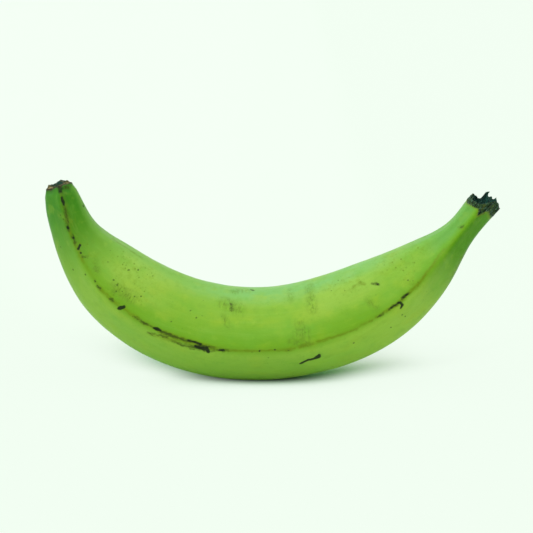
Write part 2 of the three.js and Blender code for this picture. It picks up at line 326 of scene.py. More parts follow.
SPECKS = [([p], [r], 0.3) for p, r in (
        ((0.2214, 137.5), 0.6), ((0.2047, 127.5), 0.42), ((0.2069, 129.0), 0.42), ((0.1947, 120.0), 0.35), ((0.139, 54.5), 0.5), ((0.1557, 77.5), 0.5), ((0.099, 41.5), 0.4), ((0.208, 100.5), 0.5),
        ((0.257, 108.0), 0.5), ((0.2136, 94.0), 0.4), ((0.2225, 98.5), 0.35), ((0.3582, 118.5), 0.5), ((0.3737, 112.5), 0.5), ((0.3838, 116.5), 0.35), ((0.3782, 138.0), 0.35), ((0.3304, 98.5), 0.4),
        ((0.6785, 153.5), 0.4), ((0.6852, 152.0), 0.32), ((0.8009, 102.0), 0.45), ((0.8076, 97.0), 0.32), ((0.7564, 69.0), 0.5), ((0.7586, 62.0), 0.5), ((0.2436, 138.5), 0.4), ((0.2547, 142.0), 0.4),
        ((0.0467, 79.5), 0.4), ((0.0545, 84.0), 0.4), ((0.6841, 133.5), 0.35), ((0.7119, 142.0), 0.35), ((0.6574, 140.0), 0.4), ((0.4861, 84.0), 0.3), ((0.6618, 70.5), 0.5), ((0.7286, 62.0), 0.5),
        ((0.7364, 109.5), 0.3), ((0.2469, 103.0), 0.45), ((0.1969, 102.0), 0.5), ((0.1657, 116.0), 0.4), ((0.1891, 133.0), 0.4), ((0.1958, 132.5), 0.4),
        ((0.0167, 173), 0.4), ((0.31, -100), 0.45), ((0.45, -124), 0.4), ((0.58, -96), 0.45), ((0.67, -150), 0.4), ((0.74, -60), 0.45), ((0.36, -40), 0.4), ((0.52, -30), 0.45), ((0.22, -104), 0.45),
)]


def at(s, d):
    """Where the skin is at station s and d degrees from the keel, with the bend taken out."""
    return straight([s], np.array([d * RAD]))[0, 0]


def beside(flat, several):
    """How far each point is outside the nearest mark, in mm, less a little for its softness. Negative inside, 3 far away."""
    off = np.full(flat.shape[:-1], 3.0)
    for points, sizes, soft in several:
        places = [at(*p) for p in points]
        if len(places) == 1:
            places, sizes = places * 2, list(sizes) * 2
        for a, b, ra, rb in zip(places[:-1], places[1:], sizes[:-1], sizes[1:]):
            near = np.abs(flat[..., 0] - (a[0] + b[0]) / 2) < abs(b[0] - a[0]) / 2 + 12
            q, run = flat[near], b - a
            h = np.clip((q - a) @ run / max(run @ run, 1e-9), 0, 1)
            away = np.linalg.norm(q - a - h[:, None] * run, axis=1) - (ra + (rb - ra) * h)
            off[near] = np.minimum(off[near], np.maximum(away, -3.0) * (0.35 / soft))
    return off


# ---------------------------------------------------------------- the fruit's mesh
ALONG = 440
AROUND = 188

# Points round a section stand closer together beside the two side ridges.
HALF_ROUND = AROUND // 2
fan = np.linspace(0, 180, 1801)
dense = np.concatenate([[0], np.cumsum(0.1 * (1 + 2.0 * np.exp(-(((fan[1:] - 85) / 20) ** 2))))])
even = np.interp(np.arange(HALF_ROUND) / HALF_ROUND * dense[-1], dense, fan)  # 0 up to, but not, 180, with the ridge at 85


def round_angles(s):
    """The angles of the points of the section at each station, with a row of points along each side ridge."""
    s = np.asarray(s, float).reshape(-1, 1)

    def half_round(ridge, x):
        return np.where(x < 85, x * ridge / 85, 180 - (180 - x) * (180 - ridge) / 95)

    other = np.concatenate([[180.0], even[:0:-1]])
    return np.concatenate([half_round(front(s), even[None, :]), 360 - half_round(back(s), other[None, :])], 1) * RAD




def around_curve(points):
    """A smooth closed curve of value against degrees from the keel."""
    d, v = [p[0] for p in points], [p[1] for p in points]
    n = len(d)
    d = [x - 360 for x in d] + d + [x + 360 for x in d]
    f = spline(d, v * 3)
    return lambda x: f(np.mod(x, 360))


def broken_curve(points):
    """A closed curve of value against degrees from the keel, straight from point to point."""
    d, v = [p[0] for p in points], [p[1] for p in points]
    return lambda x: np.interp(np.mod(x, 360), [d[-1] - 360] + d + [d[0] + 360], [v[-1]] + v + [v[0]])


# Where the peel's green stops at each end, in mm along the fruit, against degrees from the keel.
scar_edge = around_curve([(0, 0.5), (40, 0.4), (64, 0.1), (82, -0.9), (96, 0.2), (112, -0.9), (128, -1.1), (150, -0.4), (180, 0.2), (210, 0.3), (240, 0.0), (270, -0.6), (300, 0.3), (330, 0.6)])
stem_edge = around_curve([(0, 268.4), (20, 267.9), (40, 268.6), (60, 269.4), (76, 268.6), (84, 266.8), (89, 266.0), (94, 267.4), (100, 269.2), (112, 269.6), (135, 268.8), (160, 267.9), (185, 268.3), (215, 268.8), (245, 267.6), (262, 266.6), (285, 267.4), (320, 268.9)])

rows, straights, kinds, found = [], [], [], []  # kinds: (mm inside the blossom scar, mm inside the torn stem's dark part, inside its hollow); found: mm outside the nearest (black mark, smear, speck, scuff, olive rub, freckled patch)


def add(points, flat, scar=-6.0, torn=-6.0, hollow=0.0, marked=3.0):
    one = np.ones(AROUND)
    found.append(np.broadcast_to(marked, (AROUND, 6)))
    rows.append(points.reshape(AROUND, 3))
    straights.append(flat.reshape(AROUND, 3))
    kinds.append(np.stack([np.clip(scar, -6, 12) * one, np.clip(torn, -6, 12) * one, hollow * one], 1))


# Blossom end: from the middle of the scar out over its rim. (share of the end section, height over its plane)
centre0, along0, out0 = frames([0.0])
scar_rows = 22
theta = round_angles([0.0])
ring0 = section([0.0], theta)
h0, w0 = float(half(0.0)), float(half(0.0) * width(0.0))


def scar_height(x, y):
    """Height of the dried scar, mm. x is towards the keel, y towards the viewer."""
    p = np.stack([x, y, 0 * x], -1)
    r = np.hypot(x / h0, y / w0)
    lump = 1.5 * np.exp(-(((x + 1.6) / 2.3) ** 2 + ((y + 5.0) / 2.1) ** 2)) + 0.7 * np.exp(-(((x + 4.4) / 1.7) ** 2 + ((y + 1.2) / 2.2) ** 2)) + 0.8 * np.exp(-(((x - 4.4) / 1.5) ** 2 + ((y - 1.5) / 2.6) ** 2))
    dip = -1.1 * np.exp(-(((x - 1.0) / 2.2) ** 2 + ((y - 0.8) / 2.4) ** 2))
    rough = 0.34 * noise(p, 2.1, 11) + 0.26 * noise(p, 0.95, 12) + 0.12 * noise(p, 0.45, 13)
    return (0.55 + lump + dip) * step(1.10, 0.82, r) + rough * step(1.10, 0.85, r)


scar_low = around_curve([(0, -0.35), (60, -0.1), (100, 0.15), (150, 0.1), (200, -0.25), (230, 0.1), (262, 0.9), (285, 0.35), (310, -0.1), (340, -0.4)])
low = scar_low(np.degrees(theta[0]))

# The body, with a slow unevenness that every grown fruit has.
body = np.linspace(0, 1, ALONG)
angles = round_angles(body)
points, flat = skin(body, angles), straight(body, angles)
centre, along, out = frames(body)
ahead = np.roll(points, -1, 1) - np.roll(points, 1, 1)
down = np.gradient(points, axis=0)
normal = np.cross(down, ahead)
normal /= np.linalg.norm(normal, axis=2, keepdims=True)
normal *= np.sign(((points + SHIFT - centre[:, None, :]) * normal).sum(2, keepdims=True))
ends = (step(0.0, 0.03, body) * step(1.0, 0.97, body))[:, None]
uneven = 0.20 * noise(flat, (26, 15, 15), 1) + 0.10 * noise(flat, (9, 6, 6), 2) + 0.03 * noise(flat, (14, 1.9, 1.9), 3)
points = points + (uneven * ends)[..., None] * normal
jitter = np.stack([noise(flat, 1.4, 5), noise(flat, 1.4, 6), noise(flat, 1.4, 7)], -1) * 0.35
black_off, smear_off, speck_off, scuff_off = beside(flat + jitter, BLACKS), beside(flat + jitter, SMEARS), beside(flat, SPECKS), beside(flat, SCUFFS)
olive_off, freckle_off = beside(flat + jitter, OLIVES), beside(flat, FRECKLES)
crust = 0.5 + 0.5 * noise(flat, (1.6, 0.9, 0.9), 8)
sink = step(0.45, -0.3, black_off) * (0.07 + 0.12 * crust) + step(0.45, -0.3, smear_off) * 0.06 * crust
points = points - sink[..., None] * normal
rim = step(0.017, 0.0, body)[:, None] * (0.55 + 0.35 * np.clip(np.cos(angles), 0, 1))
points = points - (rim * (0.9 + 0.45 * noise(flat, 2.2, 4)))[..., None] * normal
points = points - (step(0.010, 0.0, body)[:, None] * low[None, :])[..., None] * along0

# The scar's surface, inside the first ring of the body.
spread = points[0] + SHIFT - centre0
ring_a, ring_b = spread @ out0[0], spread @ SIDE
for k in range(scar_rows, 0, -1):
    f = 1 - k / scar_rows  # 0 in the middle, towards 1 at the rim
    share = 0.06 + 0.94 * f**0.8
    a, b = ring_a[None] * share, ring_b[None] * share
    high = scar_height(a, b)
    edge = step(0.70, 1.0, share)
    high = high * (1 - edge) + edge * (0.15 + low + 0.3 * noise(np.stack([a, b, 0 * a], -1), 1.5, 14))
    p = centre0[:, None, :] + a[..., None] * out0 + b[..., None] * SIDE - high[..., None] * along0
    add(p - SHIFT, np.stack([-high, b, -a], -1), scar=scar_edge(np.degrees(theta[0])) + (1 - share) * 7.2 + 0.3)

# Torn stem: the wall goes on up to a ragged rim, turns in and drops to a hollow floor. One strand stands up and curls over.
tear = broken_curve([(0, -0.3), (12, 0.7), (24, 0.4), (36, 1.9), (48, 2.6), (58, 1.7), (66, 2.7), (76, 2.0), (84, 0.9), (92, -0.6), (100, -2.0), (108, -2.9), (118, -3.2), (128, -2.7), (138, -3.1), (150, -2.5), (162, -2.7), (176, -2.2), (190, -2.4), (204, -1.9), (218, -1.5), (228, -1.3), (238, -1.8), (248, -1.6), (256, -2.4), (264, -2.0), (270, -0.8), (280, 0.9), (288, 1.4), (297, 2.2), (303, 1.3), (308, 1.5), (314, 3.0), (321, 2.7), (326, 1.6), (336, 1.5), (346, 0.7)])
lean = around_curve([(0, 0.0), (60, 0.0), (110, 0.2), (150, 0.75), (190, 0.95), (225, 0.8), (260, 0.2), (300, 0.0)])
theta = round_angles([1.0])[0]
deg = np.degrees(theta)
circle = np.stack([7 * np.cos(theta), 7 * np.sin(theta), 0 * theta], -1)
strand = np.exp(-(((deg - 275.5) / 5.0) ** 2))
calm = 1 - 0.6 * (0.5 + 0.5 * np.cos(theta - 0.3)) ** 2
ragged = tear(deg) + calm * (0.30 * noise(circle, 1.1, 21) + 0.32 * noise(circle, 0.45, 22)) + 3.6 * strand
start = int(ALONG * 0.968)


def curl(rise):
    """Sideways bend of the standing strand, mm: leaning one way, its tip over the other way."""
    return strand * (1.25 * step(2.2, 4.2, rise) - 0.55 * step(-1.5, 1.8, rise))


for i in range(ALONG):
    p = points[i]
    torn_in = body[i] * LENGTH - stem_edge(np.degrees(angles[i]))
    if i >= start:
        up = (body[i] - body[start]) / (1 - body[start])  # 0 at the dark band, 1 at the nominal end
        low_rim = np.minimum(ragged, 0) * 0.95 + np.maximum(ragged, 0) * 0.5
        fibre = step(-0.6, 0.8, torn_in) * (0.30 * noise(np.stack([7 * np.cos(angles[i]), 7 * np.sin(angles[i]), 0.22 * body[i] * LENGTH + 0 * theta], -1), (0.8, 0.8, 1.2), 23) + 0.14 * noise(np.stack([7 * np.cos(angles[i]), 7 * np.sin(angles[i]), 0.22 * body[i] * LENGTH + 0 * theta], -1), (0.4, 0.4, 1.0), 28))
        bead = 0.55 * np.exp(-(((deg - 121) / 12) ** 2)) * step(0.45, 0.85, up)
        p = p + (up**1.3 * low_rim)[:, None] * along[i] + (fibre + bead - lean(deg) * up**1.5)[:, None] * normal[i]
    add(p, flat[i], scar=scar_edge(np.degrees(angles[i])) - body[i] * LENGTH, torn=torn_in, marked=np.stack([black_off[i], smear_off[i], speck_off[i], scuff_off[i], olive_off[i], freckle_off[i]], -1))

centre1, along1, out1 = frames([1.0])
ring1 = section([1.0], theta[None])
h1, w1 = float(half(1.0)), float(half(1.0) * width(1.0))
# (share of the end section, height along the axis over the nominal end, how much of the tear it follows, inside or not)
crown = [(1.00, 0.12, 0.97, 0.0), (0.997, 0.25, 1.0, 0.0), (0.985, 0.42, 1.0, 0.0), (0.965, 0.48, 1.0, 0.15), (0.94, 0.40, 1.0, 0.45), (0.915, 0.1, 0.97, 0.8), (0.895, -0.5, 0.9, 1.0), (0.87, -1.3, 0.78, 1.0), (0.84, -2.2, 0.62, 1.0), (0.80, -3.1, 0.46, 1.0), (0.74, -3.9, 0.3, 1.0), (0.66, -4.5, 0.15, 1.0), (0.55, -4.8, 0.05, 1.0), (0.43, -4.8, 0.0, 1.0), (0.31, -4.6, 0.0, 1.0), (0.19, -4.4, 0.0, 1.0), (0.07, -4.3, 0.0, 1.0)]
for share, high, follow, hollow in crown:
    a, b = ring1[0] * h1 * share, ring1[1] * w1 * share
    q = np.stack([a[0], b[0], np.full(AROUND, high)], -1)
    wobble = (0.22 * noise(q, 1.1, 24) + 0.16 * noise(q, 0.5, 25)) * (1 if share < 0.98 else 0.4)
    up = high + follow * ragged + wobble
    side = 1 + (0.045 * noise(q, (1.0, 1.0, 2.0), 26) + 0.035 * noise(q, (0.5, 0.5, 1.2), 27)) * (1 if share > 0.2 else 0.3) - lean(deg) / 8 * step(0.5, 0.9, share)
    bend = curl(up - 0.2)[None, :] * step(0.7, 0.9, share)
    a, b = a * side - bend * np.sin(theta), b * side + bend * np.cos(theta)
    p = centre1[:, None, :] + a[..., None] * out1 + b[..., None] * SIDE + up[..., None] * along1
    add(p - SHIFT, np.stack([LENGTH + up + 0 * a[0], b[0], -a[0]], -1), torn=np.maximum(LENGTH + high + ragged * 0.3 - stem_edge(deg), 1.5), hollow=hollow)

grid = np.array(rows)
count = len(grid)
verts = grid.reshape(-1, 3)
verts = np.concatenate([verts, grid[0].mean(0)[None], grid[-1].mean(0)[None]])
verts[:, 2] = np.where(verts[:, 2] < 0.0, 0.0, verts[:, 2])
flats = np.concatenate([np.array(straights).reshape(-1, 3), straights[0].mean(0)[None], straights[-1].mean(0)[None]])
kind = np.concatenate([np.array(kinds).reshape(-1, 3), kinds[0][:1], kinds[-1][:1]])
i, j = np.meshgrid(np.arange(count - 1), np.arange(AROUND), indexing="ij")
k = (j + 1) % AROUND
quads = np.stack([i * AROUND + j, (i + 1) * AROUND + j, (i + 1) * AROUND + k, i * AROUND + k], -1).reshape(-1, 4)
first, last = count * AROUND, count * AROUND + 1
j = np.arange(AROUND)
k = (j + 1) % AROUND
faces = quads.tolist() + [[first, int(a), int(b)] for a, b in zip(j, k)] + [[last, int((count - 1) * AROUND + b), int((count - 1) * AROUND + a)] for a, b in zip(j, k)]

mesh = bpy.data.meshes.new("plantain_skin")
mesh.from_pydata((verts / 1000).tolist(), [], faces)
mesh.validate()
mesh.update()
mesh.polygons.foreach_set("use_smooth", np.ones(len(mesh.polygons), bool))


def attribute(name, values):
    values = np.asarray(values, np.float32)
    layer = mesh.attributes.new(name, "FLOAT_VECTOR", "POINT")
    layer.data.foreach_set("vector", values.ravel())


# Where each point lies: with the bend taken out (mm), round each side ridge (mm), and the ends' parts.
stem_s = np.clip(flats[:, 0] / LENGTH, 0, 1)
turned = [round_angles([0.0])] * scar_rows + [angles] + [round_angles([1.0])] * len(crown)
angle = np.concatenate([np.concatenate(turned).ravel(), [0.0, 0.0]])
radius = half(stem_s)
off_keel = np.abs(wrap(angle))
ridge = np.where(wrap(angle) >= 0, front(stem_s), back(stem_s)) * RAD
level = np.where(off_keel < ridge, off_keel / ridge - 1, (off_keel - ridge) / (np.pi - ridge))
attribute("round", np.stack([level, np.sin(angle), radius], -1))  # -1 at the keel, 0 at a side ridge, 1 on the inside of the bend
attribute("straight", flats)
attribute("near_front", np.stack([radius * np.sin(angle - front(stem_s) * RAD), radius * np.cos(angle - front(stem_s) * RAD), flats[:, 0]], -1))
attribute("near_back", np.stack([radius * np.sin(angle + back(stem_s) * RAD), radius * np.cos(angle + back(stem_s) * RAD), flats[:, 0]], -1))
attribute("ends", kind)
found = np.concatenate([np.array(found).reshape(-1, 6), found[0][:1], found[-1][:1]])
attribute("marks", found[:, :3])
attribute("rubs", found[:, 3:])

# Unwrap: round the fruit across, along it upwards, one strip that fills the image.
uv = mesh.uv_layers.new(name="OFBake")
loops = np.zeros(len(mesh.loops), int)
mesh.loops.foreach_get("vertex_index", loops)
row, col = loops // AROUND, loops % AROUND
starts = np.array([p.loop_start for p in mesh.polygons])
size = np.array([p.loop_total for p in mesh.polygons])
face_of = np.repeat(np.arange(len(size)), size)
u = col / AROUND
top_col = np.zeros(len(size))
np.maximum.at(top_col, face_of, np.where(loops < first, col, 0))
u = np.where((top_col[face_of] == AROUND - 1) & (col == 0) & (loops < first), 1.0, u)
lengths = np.concatenate([[0], np.cumsum(np.linalg.norm(np.diff(grid, axis=0), axis=2).mean(1))])
v = (lengths[np.clip(row, 0, count - 1)] + 0.6) / (lengths[-1] + 1.2)
for tip, height in ((first, 0.0), (last, 1.0)):
    here = loops == tip
    v = np.where(here, height, v)
    u = np.where(here, (top_col[face_of] - 0.5) / AROUND, u)
uv.uv.foreach_set("vector", np.stack([0.002 + 0.996 * v, 0.002 + 0.996 * u], -1).astype(np.float32).ravel())

plantain = bpy.data.objects.new("plantain_fruit", mesh)
bpy.context.scene.collection.objects.link(plantain)
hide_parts("plantain")
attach(plantain, "root")

# ---------------------------------------------------------------- the skin's material
material = bpy.data.materials.new("green_peel")
material.use_nodes = True
tree = material.node_tree
tree.nodes.clear()


def lin(r, g, b):
    """A colour given as 0 to 255 sRGB, as the shader wants it."""
    return tuple(c / 12.92 if c <= 0.04045 else ((c + 0.055) / 1.055) ** 2.4 for c in (r / 255, g / 255, b / 255)) + (1.0,)


def node(kind, **settings):
    n = tree.nodes.new(kind)
    for key, item in settings.items():
        setattr(n, key, item)
    return n


def put(socket, item):
    if isinstance(item, bpy.types.NodeSocket):
        tree.links.new(item, socket)
    else:
        socket.default_value = item


def calc(operation, a, b=0.0, c=0.0, clamp=False):
    n = node("ShaderNodeMath", operation=operation, use_clamp=clamp)
    for socket, item in zip(n.inputs, (a, b, c)):
        put(socket, item)
    return n.outputs[0]


def vec(operation, a, b=(0, 0, 0), c=(0, 0, 0), scale=None):
    n = node("ShaderNodeVectorMath", operation=operation)
    put(n.inputs[0], a)
    put(n.inputs[1], b)
    put(n.inputs[2], c)
    if scale is not None:
        put(n.inputs["Scale"], scale)
    return n.outputs["Value"] if operation in ("DOT_PRODUCT", "DISTANCE", "LENGTH") else n.outputs["Vector"]


def ramp(x, low, high, a=0.0, b=1.0, smooth=True):
    n = node("ShaderNodeMapRange", interpolation_type="SMOOTHSTEP" if smooth else "LINEAR")
    n.clamp = True
    for name, item in (("Value", x), ("From Min", low), ("From Max", high), ("To Min", a), ("To Max", b)):
        put(n.inputs[name], item)
    return n.outputs["Result"]


def mix(share, a, b, blend="MIX"):
    n = node("ShaderNodeMix", data_type="RGBA", blend_type=blend)
    n.clamp_factor = True
    put(n.inputs[0], share)
    put(n.inputs[6], a)
    put(n.inputs[7], b)
    return n.outputs[2]


def mottle(where, size, detail=2.0, rough=0.5, seed=0.0):
    """Noise from 0 to 1 whose bumps are size mm across, one number or one for each axis."""
    size = (size,) * 3 if isinstance(size, (int, float)) else size
    spot = vec("MULTIPLY_ADD", where, tuple(1 / x for x in size), (seed * 7.31, seed * 3.17, seed * 5.73))
    n = node("ShaderNodeTexNoise", noise_dimensions="3D")
    put(n.inputs["Vector"], spot)
    n.inputs["Scale"].default_value = 1.0
    n.inputs["Detail"].default_value = detail
    n.inputs["Roughness"].default_value = rough
    return n.outputs["Fac"]


def cells(where, size, seed=0.0, feature="F1"):
    n = node("ShaderNodeTexVoronoi", voronoi_dimensions="3D", feature=feature)
    size = (size,) * 3 if isinstance(size, (int, float)) else size
    put(n.inputs["Vector"], vec("MULTIPLY_ADD", where, tuple(1 / x for x in size), (seed * 5.1, seed * 2.7, seed * 9.3)))
    n.inputs["Scale"].default_value = 1.0
    tint = node("ShaderNodeSeparateColor")
    put(tint.inputs[0], n.outputs["Color"])
    return n.outputs["Distance"], tint.outputs[0], tint.outputs[1]


def apart(vector):
    n = node("ShaderNodeSeparateXYZ")
    put(n.inputs[0], vector)
    return n.outputs[0], n.outputs[1], n.outputs[2]


def read(name):
    return node("ShaderNodeAttribute", attribute_type="GEOMETRY", attribute_name=name).outputs["Vector"]


def highest(items):
    """The largest of several masks. Items may be made one by one, so that few are held at once."""
    total = None
    for item in items:
        total = item if total is None else calc("MAXIMUM", total, item)
    return total


def times(*items):
    total = items[0]
    for item in items[1:]:
        total = calc("MULTIPLY", total, item)
    return total


place = read("straight")
U, V, W = apart(place)  # along the fruit, towards the viewer, up
front_off, front_near, _ = apart(read("near_front"))
back_off, back_near, _ = apart(read("near_back"))
scar, torn, hollow = apart(read("ends"))

black_away, smear_away, speck_away = apart(read("marks"))
scuff_away, olive_away, freckle_away = apart(read("rubs"))
ragged_edge = calc("MULTIPLY", calc("SUBTRACT", mottle(place, (1.1, 0.7, 0.7), 3.0, 0.65, 31), 0.5), 1.1)


# ---- ground colour: yellow-green over the body, deeper and bluer green in the two necks, with painted shade and light by face: darker just above the side ridges, lighter below them, lighter and bluer on the inside of the bend
broad = mottle(place, (34, 17, 17), 2.0, 0.5, 1)
patch = mottle(place, (15, 8, 8), 3.0, 0.55, 2)
thin = mottle(place, (26, 1.5, 1.5), 3.0, 0.6, 3)
grain = mottle(place, 0.55, 2.0, 0.6, 4)

level, side, _ = apart(read("round"))


along_it = calc("ADD", U, calc("MULTIPLY", calc("SUBTRACT", broad, 0.5), 16.0))


def zone(blossom_neck, body, stem_neck, left, right):
    """One face of the fruit: its colour in the blossom neck, over the body and in the stem neck, changing over (from, to) mm."""
    tint = mix(ramp(along_it, *left), lin(*blossom_neck), lin(*body))
    return mix(ramp(along_it, *right), tint, lin(*stem_neck))


# partly painted light: below the side ridges the belly is a lighter green than the flank, standing in for the light the
# lower faces catch
belly_tint_and_light = zone((56, 128, 24), (142, 187, 60), (76, 138, 0), (2, 62), (212, 250))
# painted shade: the band just above each side ridge is a darker green, standing in for the shading beside the ridge
ridge_shade_tint = zone((54, 116, 0), (113, 166, 30), (100, 162, 18), (4, 54), (212, 244))
flank_tint = zone((48, 122, 0), (129, 178, 46), (108, 172, 72), (5, 60), (226, 248))
# partly painted sheen: on the inside of the bend, which faces up, the peel is lighter and bluer
inner_tint_and_sheen = zone((92, 152, 36), (128, 181, 76), (110, 173, 76), (6, 58), (214, 246))
belly_tint_and_light = mix(times(ramp(along_it, 148, 180), ramp(along_it, 226, 200), 0.42), belly_tint_and_light, lin(164, 206, 62))
drift = calc("ADD", level, calc("MULTIPLY", calc("SUBTRACT", patch, 0.5), 0.22))
ground = mix(ramp(drift, 0.48, 0.78), flank_tint, inner_tint_and_sheen)
ground = mix(ramp(drift, 0.34, 0.04), ground, ridge_shade_tint)
ground = mix(ramp(level, 0.015, -0.10), ground, belly_tint_and_light)
# a bluish bloom on the inside of the bend, partly the peel's waxy bloom and partly a painted sheen of the light above,
# and two mellow stretches of the flank
bloom_and_sheen = times(ramp(drift, 0.52, 0.80), ramp(along_it, 84, 120), ramp(along_it, 226, 204))
ground = mix(times(bloom_and_sheen, ramp(mottle(place, (12, 7, 7), 2.0, 0.5, 33), 0.30, 0.62, 0.45, 1.0), 0.7), ground, lin(125, 187, 108))
mellow = highest([times(ramp(along_it, 150, 176), ramp(along_it, 214, 196), ramp(drift, 0.20, 0.36), ramp(drift, 0.72, 0.56)), times(ramp(along_it, 36, 56), ramp(along_it, 96, 70), ramp(drift, 0.10, 0.30), ramp(drift, 0.86, 0.62))])
ground = mix(times(mellow, 0.42), ground, lin(158, 194, 78))
# cloudy patches, yellower and greener, then long faint streaks and a fine grain
cloud = mottle(place, (7, 6, 6), 3.0, 0.6, 35)
ground = mix(times(ramp(cloud, 0.52, 0.72), 0.22), ground, lin(100, 168, 44))
ground = mix(times(ramp(cloud, 0.46, 0.30), 0.16), ground, lin(166, 196, 62))
ground = mix(times(ramp(patch, 0.48, 0.70), ramp(along_it, 40, 80), ramp(along_it, 240, 215), 0.22), ground, lin(160, 184, 34))
ground = mix(times(ramp(broad, 0.50, 0.30), 0.16), ground, lin(96, 176, 66))
ground = mix(times(ramp(mottle(place, (5, 4, 4), 3.0, 0.6, 34), 0.50, 0.72), 0.16), ground, lin(98, 148, 30))
ground = mix(times(ramp(thin, 0.50, 0.74), 0.10), ground, lin(90, 150, 40))
ground = mix(times(ramp(thin, 0.48, 0.26), 0.07), ground, lin(170, 206, 96))
ground = mix(times(ramp(grain, 0.52, 0.80), 0.22), ground, lin(84, 140, 30))

# ---- pores: pinpricks of darker green, in loose drifts
pore_off, pore_pick, _ = cells(place, (1.9, 1.7, 1.7), 1)
pores = times(ramp(pore_off, 0.17, 0.07), ramp(pore_pick, 0.45, 0.9), ramp(mottle(place, 13, 1.0, 0.5, 5), 0.42, 0.60))
ground = mix(times(pores, 0.55), ground, lin(66, 112, 22))

# ---- rubbed ridges: a thin olive-brown line that comes and goes
wander = calc("MULTIPLY", calc("SUBTRACT", mottle(place, (9, 30, 30), 2.0, 0.5, 6), 0.5), 1.6)


def ridge_line(off, near, strength, seed):
    off = calc("ABSOLUTE", calc("ADD", off, wander))
    broken = ramp(mottle(place, (5.5, 40, 40), 3.0, 0.65, seed), 0.30, 0.58, 0.35, 1.0)
    core = times(ramp(off, 0.95, 0.15), broken)
    halo = times(ramp(off, 2.4, 0.3), ramp(mottle(place, (16, 40, 40), 2.0, 0.5, seed + 1), 0.30, 0.60, 0.4, 1.0))
    here = times(ramp(near, 0.0, 3.0), strength)
    return times(core, here), times(halo, here)


def between(*stops):
    """A curve of strength along the fruit, through (mm from the blossom end, value)."""
    n = node("ShaderNodeFloatCurve")
    put(n.inputs["Value"], calc("DIVIDE", U, LENGTH))
    curve = n.mapping.curves[0]
    stops = [(s / LENGTH, x) for s, x in stops]
    curve.points[0].location, curve.points[1].location = stops[0], stops[-1]
    for s, x in stops[1:-1]:
        curve.points.new(s, x)
    for p in curve.points:
        p.handle_type = "VECTOR"
    n.mapping.update()
    return n.outputs[0]


front_core, front_halo = ridge_line(front_off, front_near, between((0, 0.3), (28, 0.25), (60, 0.12), (76, 0.25), (118, 0.35), (152, 0.25), (164, 0.12), (200, 0.15), (226, 0.35), (246, 0.2), (273, 0.1)), 7)
back_core, back_halo = ridge_line(back_off, back_near, between((0, 0.2), (34, 0.35), (58, 0.2), (84, 0.4), (110, 0.25), (150, 0.4), (182, 0.45), (206, 0.2), (232, 0.3), (273, 0.1)), 17)
ground = mix(times(highest([front_halo, back_halo]), 0.5), ground, lin(112, 142, 10))
ground = mix(times(highest([front_core, back_core]), 0.8), ground, lin(108, 126, 10))
rubbed = ramp(calc("ADD", olive_away, calc("MULTIPLY", ragged_edge, 0.8)), 0.42, -0.35)
ground = mix(times(rubbed, ramp(mottle(place, (3.5, 1.0, 1.0), 3.0, 0.65, 36), 0.34, 0.58, 0.3, 0.8)), ground, lin(104, 130, 0))

# ---- scuffs: faint brown-green rubs made of short fine scratches, mostly across the fruit
scratch = highest([ramp(mottle(place, (0.8, 3.0, 3.0), 3.0, 0.7, 8), 0.52, 0.66), times(ramp(mottle(place, (1.5, 1.5, 1.5), 3.0, 0.7, 37), 0.52, 0.66), 0.7)])
scuffs = ramp(scuff_away, 0.36, -0.30)
ground = mix(times(scuffs, scratch, 0.58), ground, lin(74, 106, 20))
ground = mix(times(scuffs, ramp(mottle(place, (2.0, 3.0, 3.0), 3.0, 0.6, 39), 0.34, 0.60), 0.34), ground, lin(92, 124, 30))

# ---- freckles: small olive spots in a few drifts
freckle_at, freckle_pick, _ = cells(place, (2.3, 2.1, 2.1), 3)
freckles = times(ramp(freckle_away, 0.35, -0.2), ramp(freckle_at, 0.30, 0.10), ramp(freckle_pick, 0.40, 0.85))
ground = mix(times(freckles, 0.75), ground, lin(92, 128, 8))
ground = mix(times(ramp(freckle_away, 0.6, -0.4), ramp(mottle(place, (2.6, 2.2, 2.2), 3.0, 0.65, 38), 0.48, 0.66), 0.30), ground, lin(112, 142, 12))

# ---- brown rubs along the ridges, and black marks
smears = ramp(calc("ADD", smear_away, ragged_edge), 0.34, -0.30)
fibres = ramp(mottle(place, (6.0, 0.8, 0.8), 3.0, 0.65, 9), 0.30, 0.62)
ground = mix(times(smears, calc("MULTIPLY_ADD", fibres, 0.6, 0.3)), ground, lin(52, 66, 6))
blacks = ramp(calc("ADD", black_away, calc("MULTIPLY", ragged_edge, 0.5)), 0.45, -0.08)
specks = ramp(calc("ADD", speck_away, calc("MULTIPLY", ragged_edge, 0.3)), 0.24, -0.10)
loose_off, loose_pick, _ = cells(place, (9.0, 8.0, 8.0), 2)
loose = times(ramp(loose_off, 0.055, 0.03), ramp(loose_pick, 0.55, 0.75), ramp(U, 18.0, 30.0))
ground = mix(times(highest([specks, times(loose, 0.7)]), 0.78), ground, lin(58, 88, 10))
scab = mottle(place, (1.6, 0.7, 0.7), 3.0, 0.65, 10)
ground = mix(times(blacks, 0.94), ground, mix(ramp(scab, 0.42, 0.70), lin(3, 12, 2), lin(26, 36, 8)))

